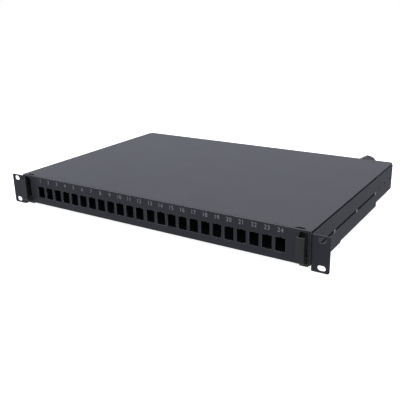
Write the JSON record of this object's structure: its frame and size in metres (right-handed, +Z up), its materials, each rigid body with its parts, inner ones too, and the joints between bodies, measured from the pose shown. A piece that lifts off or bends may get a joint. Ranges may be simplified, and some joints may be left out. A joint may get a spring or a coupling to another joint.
{
  "type": "rack-mount fibre termination panel",
  "caption": "Flat rack-mount fibre termination box: steel casing with a sliding drawer, a row of adapter ports, finger-pull latches, rack ears and a rear cable gland.",
  "frame": {"origin": "on the lowest plane of the part (the lower edge of the rack ears), under the middle of the whole part between its two ears and between the finger pulls and the end of the gland", "axes": "+X to the right as seen from the front, across the rack; +Y to the rear; +Z up"},
  "size_m": [0.4826, 0.3508, 0.0444],
  "materials": {
    "powder_coat": "fine-texture black powder coat on sheet steel",
    "zinc_steel": "bright zinc plate on steel",
    "latch_plastic": "moulded dark grey plastic, lightly textured",
    "black_nylon": "moulded black nylon",
    "seal_rubber": "moulded black rubber",
    "splice_plastic": "moulded light grey plastic",
    "lid_plastic": "clear sheet plastic"
  },
  "bodies": {
    "casing": {"casing_floor": "powder_coat", "side_panel_left": "powder_coat", "side_panel_right": "powder_coat", "rear_panel": "powder_coat", "top_cover": "powder_coat", "cover_flange_left": "powder_coat", "cover_flange_right": "powder_coat", "cover_flange_rear": "powder_coat", "cover_screw_1": "zinc_steel", "cover_screw_2": "zinc_steel", "cover_screw_3": "zinc_steel", "slide_outer_left": "zinc_steel", "slide_outer_right": "zinc_steel", "ear_screw_left_1": "zinc_steel", "ear_screw_left_2": "zinc_steel", "ear_screw_left_3": "zinc_steel", "ear_screw_right_1": "zinc_steel", "ear_screw_right_2": "zinc_steel", "ear_screw_right_3": "zinc_steel", "gland_body": "black_nylon", "gland_lock_nut": "black_nylon", "gland_seal": "seal_rubber", "entry_plug": "black_nylon", "entry_plug_nut": "black_nylon"},
    "drawer": {"drawer_tray": "powder_coat", "front_panel": "powder_coat", "panel_foot": "powder_coat", "panel_rivet_1": "zinc_steel", "panel_rivet_2": "zinc_steel", "panel_rivet_3": "zinc_steel", "panel_rivet_4": "zinc_steel", "slide_inner_left": "zinc_steel", "slide_inner_right": "zinc_steel", "latch_pocket_left": "black_nylon", "latch_pocket_right": "black_nylon", "latch_pin_left": "zinc_steel", "latch_pin_right": "zinc_steel", "splice_tray_lower": "splice_plastic", "splice_tray_upper": "splice_plastic", "splice_comb_lower": "seal_rubber", "splice_comb_upper": "seal_rubber", "splice_tray_lid": "lid_plastic", "tray_stud": "zinc_steel", "fibre_guide_1": "black_nylon", "fibre_guide_2": "black_nylon", "fibre_guide_3": "black_nylon", "fibre_guide_4": "black_nylon", "cable_clamp_base": "black_nylon", "cable_clamp_strap": "zinc_steel", "cable_clamp_screw_1": "zinc_steel", "cable_clamp_screw_2": "zinc_steel"},
    "latch_left": {"latch_left": "latch_plastic"},
    "latch_right": {"latch_right": "latch_plastic"},
    "ear_left": {"rack_ear_left": "powder_coat"},
    "ear_right": {"rack_ear_right": "powder_coat"},
    "gland_nut": {"gland_dome_nut": "black_nylon"},
    "thumb_nut": {"tray_thumb_nut": "black_nylon"}
  },
  "joints": [
    {"name": "drawer_slide", "type": "slide", "parent": "casing", "child": "drawer", "axis": [0, -1, 0], "range_m": [0, 0.19]},
    {"name": "latch_left_pull", "type": "hinge", "parent": "drawer", "child": "latch_left", "pos_m": [-0.211, -0.16155, 0.0095], "axis": [1, 0, 0], "range_deg": [0, 12], "stiffness_Nm_per_rad": 0.08, "springref_deg": -14.32},
    {"name": "latch_right_pull", "type": "hinge", "parent": "drawer", "child": "latch_right", "pos_m": [0.211, -0.16155, 0.0095], "axis": [1, 0, 0], "range_deg": [0, 12], "stiffness_Nm_per_rad": 0.08, "springref_deg": -14.32},
    {"name": "ear_left_shift", "type": "slide", "parent": "casing", "child": "ear_left", "axis": [0, 1, 0], "range_m": [0, 0.056]},
    {"name": "ear_right_shift", "type": "slide", "parent": "casing", "child": "ear_right", "axis": [0, 1, 0], "range_m": [0, 0.056]},
    {"name": "gland_nut_turn", "type": "hinge", "parent": "casing", "child": "gland_nut", "pos_m": [0.1745, 0.15275, 0.0284], "axis": [0, 1, 0], "continuous": true},
    {"name": "thumb_nut_turn", "type": "hinge", "parent": "drawer", "child": "thumb_nut", "pos_m": [0, -0.00045, 0.03], "axis": [0, 0, 1], "continuous": true}
  ]
}
